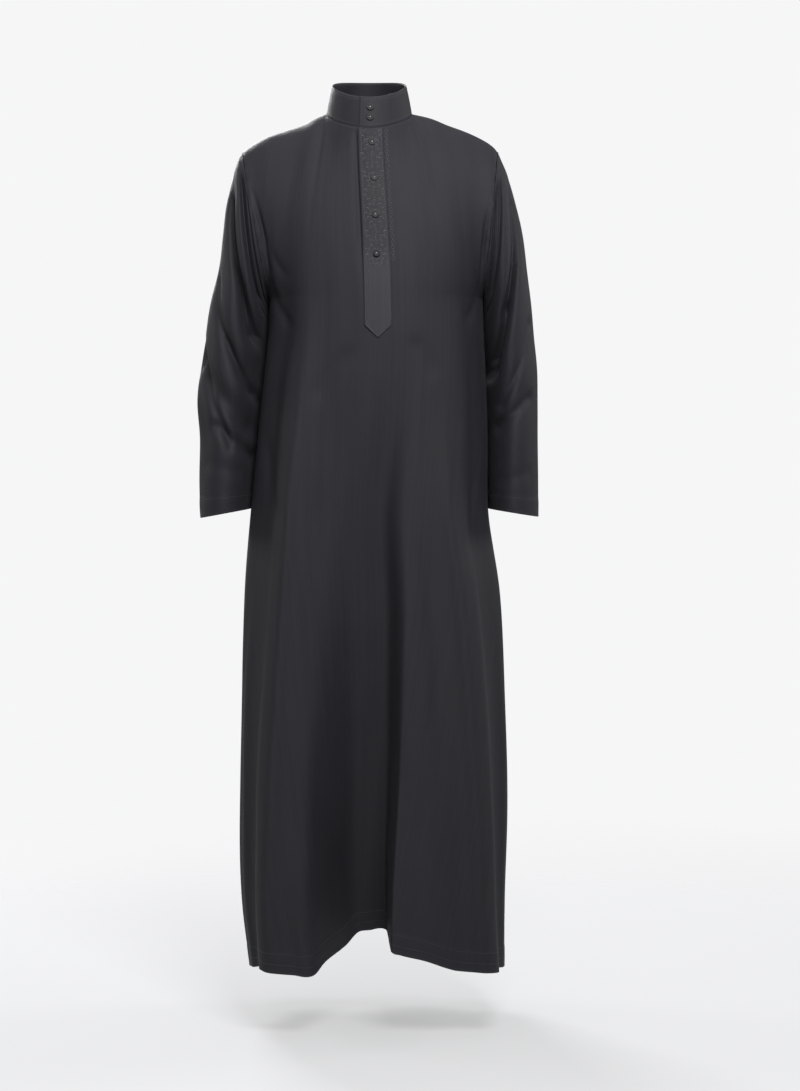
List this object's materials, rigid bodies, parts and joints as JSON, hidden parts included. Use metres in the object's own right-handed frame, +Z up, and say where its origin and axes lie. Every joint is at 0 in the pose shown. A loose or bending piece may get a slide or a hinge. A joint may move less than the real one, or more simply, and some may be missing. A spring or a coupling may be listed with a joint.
{
  "type": "thobe",
  "caption": "Ankle-length long-sleeved robe with a stand collar and a buttoned, pointed half placket, hollow as worn, open at neck, cuffs and hem.",
  "frame": {"origin": "centre of the neck at the height where the shoulder seams meet the collar", "axes": "+Z up along the wearer's height, +X towards the wearer's left, the front faces -Y"},
  "size_m": [0.544, 0.355, 1.4215],
  "materials": {
    "suiting": "smooth charcoal-black suiting with a faint satin lustre",
    "collar_suiting": "the same suiting, fused to a stiff interlining",
    "placket_suiting": "the same suiting folded into a band, with tone-on-tone embroidery",
    "button_resin": "polished dark resin"
  },
  "bodies": {
    "root": {"front": "suiting", "back": "suiting", "sleeve_right": "suiting", "sleeve_left": "suiting", "collar": "collar_suiting", "placket": "placket_suiting", "placket_under": "placket_suiting", "button_collar_top": "button_resin", "button_collar_low": "button_resin", "button_placket_1": "button_resin", "button_placket_2": "button_resin", "button_placket_3": "button_resin", "button_placket_4": "button_resin"}
  },
  "joints": []
}
